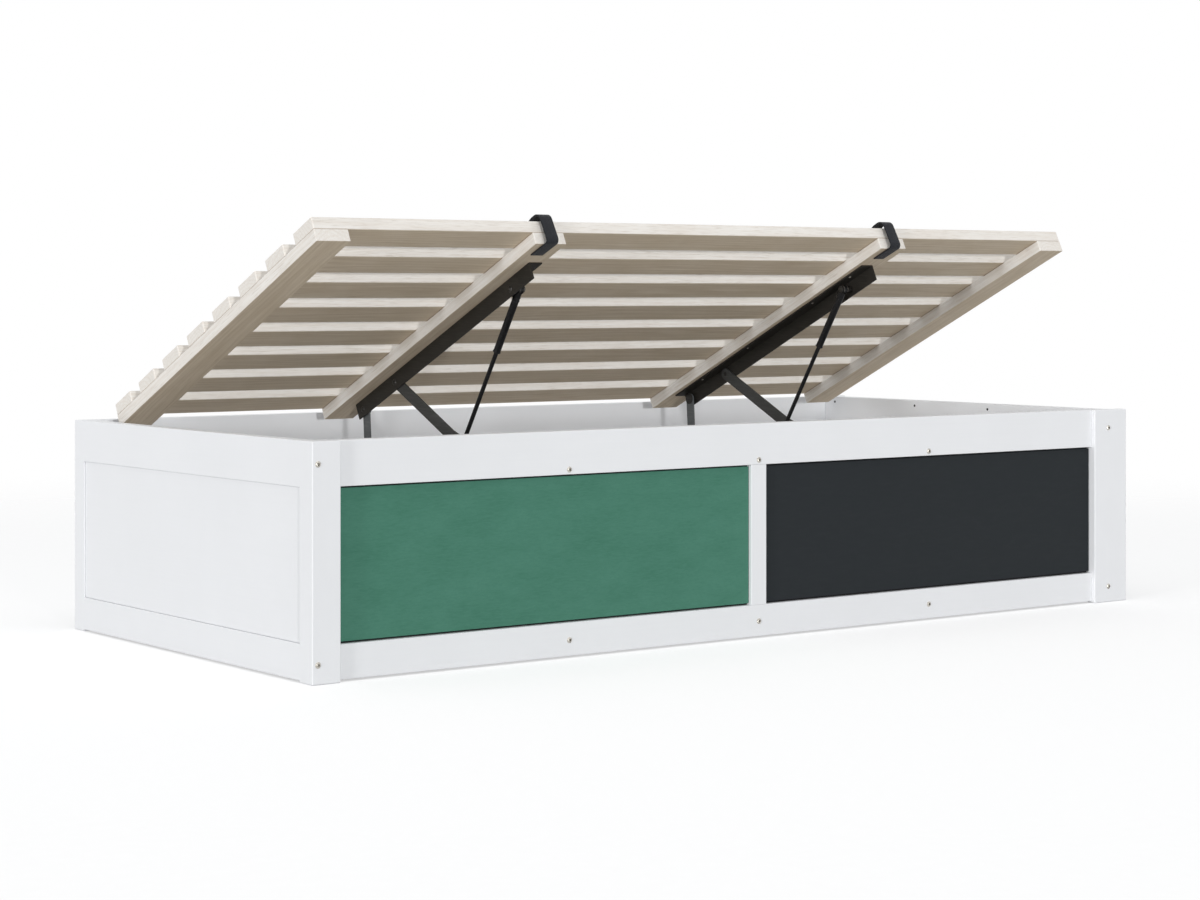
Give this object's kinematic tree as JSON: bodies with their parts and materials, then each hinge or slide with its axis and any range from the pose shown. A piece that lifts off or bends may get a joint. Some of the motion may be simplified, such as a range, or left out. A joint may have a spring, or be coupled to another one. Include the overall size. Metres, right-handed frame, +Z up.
{
  "type": "storage bed",
  "caption": "Low single storage bed: a white panelled box with a green and a dark front panel, and a slatted base that lifts on linked arms and gas struts.",
  "frame": {"origin": "on the floor, in the middle of the frame's outline", "axes": "+X along the bed, -Y towards the decorated front, +Z up"},
  "size_m": [2.16, 0.9852, 0.8521],
  "materials": {
    "white_lacquer": "satin white lacquer on wood",
    "pale_wood": "whitewashed softwood, matt",
    "green_felt": "board covered in short green felt",
    "dark_laminate": "matt dark writing board",
    "dark_fibreboard": "dark fibreboard, matt",
    "nickel": "nickel plated",
    "zinc": "zinc plated",
    "dark_steel": "dark coated steel",
    "black_webbing": "woven webbing"
  },
  "bodies": {
    "frame": {"back_bottom_rail": "white_lacquer", "back_ledge": "white_lacquer", "back_panel": "white_lacquer", "back_top_rail": "white_lacquer", "base_pivots": "dark_steel", "dark_panel": "dark_laminate", "end_ledges": "white_lacquer", "floor_board": "white_lacquer", "floor_cleats": "white_lacquer", "frame_bolts": "nickel", "front_backing_board": "dark_fibreboard", "front_bottom_rail": "white_lacquer", "front_stile": "white_lacquer", "front_top_rail": "white_lacquer", "green_panel": "green_felt", "left_base_plate": "dark_steel", "left_end_bottom_rail": "white_lacquer", "left_end_panel": "white_lacquer", "left_end_top_rail": "white_lacquer", "left_partition": "white_lacquer", "left_upright": "white_lacquer", "middle_upright": "white_lacquer", "post_back_left": "white_lacquer", "post_back_right": "white_lacquer", "post_front_left": "white_lacquer", "post_front_right": "white_lacquer", "right_base_plate": "dark_steel", "right_end_bottom_rail": "white_lacquer", "right_end_panel": "white_lacquer", "right_end_top_rail": "white_lacquer", "right_partition": "white_lacquer", "right_upright": "white_lacquer", "wood_screws": "dark_steel"},
    "lift_arms": {"left_lift_arm": "dark_steel", "right_lift_arm": "dark_steel"},
    "slatted_base": {"slat_1": "pale_wood", "slat_2": "pale_wood", "slat_3": "pale_wood", "slat_4": "pale_wood", "slat_5": "pale_wood", "slat_6": "pale_wood", "slat_7": "pale_wood", "slat_8": "pale_wood", "left_end_batten": "pale_wood", "left_middle_batten": "pale_wood", "right_middle_batten": "pale_wood", "right_end_batten": "pale_wood", "slat_screws": "zinc", "left_pull_strap": "black_webbing", "right_pull_strap": "black_webbing", "left_lift_angle": "dark_steel", "right_lift_angle": "dark_steel", "angle_screws": "dark_steel", "platform_pivots": "dark_steel"},
    "rear_links": {"left_rear_link": "dark_steel", "right_rear_link": "dark_steel"},
    "strut_rods": {"left_strut_rod": "dark_steel", "right_strut_rod": "dark_steel"},
    "strut_cylinders": {"left_strut_cylinder": "dark_steel", "right_strut_cylinder": "dark_steel"}
  },
  "joints": [
    {"name": "base_lift", "type": "hinge", "parent": "frame", "child": "lift_arms", "pos_m": [-0.0185, -0.19, 0.356], "axis": [1, 0, 0], "range_deg": [-23.09, 0], "stiffness_Nm_per_rad": 60, "springref_deg": 166.16},
    {"name": "base_tilt", "type": "hinge", "parent": "lift_arms", "child": "slatted_base", "pos_m": [-0.0185, 0.18052, 0.51559], "axis": [1, 0, 0], "range_deg": [-0.1, 48.2]},
    {"name": "rear_link_swing", "type": "hinge", "parent": "frame", "child": "rear_links", "pos_m": [-0.0185, 0.211, 0.345], "axis": [1, 0, 0], "range_deg": [-43.9, 0.1]},
    {"name": "strut_swing", "type": "hinge", "parent": "slatted_base", "child": "strut_rods", "pos_m": [-0.0185, -0.25284, 0.71491], "axis": [1, 0, 0], "range_deg": [-0.1, 2.2]},
    {"name": "strut_slide", "type": "slide", "parent": "strut_rods", "child": "strut_cylinders", "axis": [0, -0.5385, 0.8426], "range_m": [-0.0002, 0.2488]}
  ],
  "couplings": [
    {"joint": "base_tilt", "follows": "base_lift", "ratio": -2.0828},
    {"joint": "rear_link_swing", "follows": "base_lift", "ratio": 1.8968},
    {"joint": "strut_swing", "follows": "base_lift", "ratio": -0.090306},
    {"joint": "strut_slide", "follows": "base_lift", "m_per_rad": -0.61695}
  ]
}
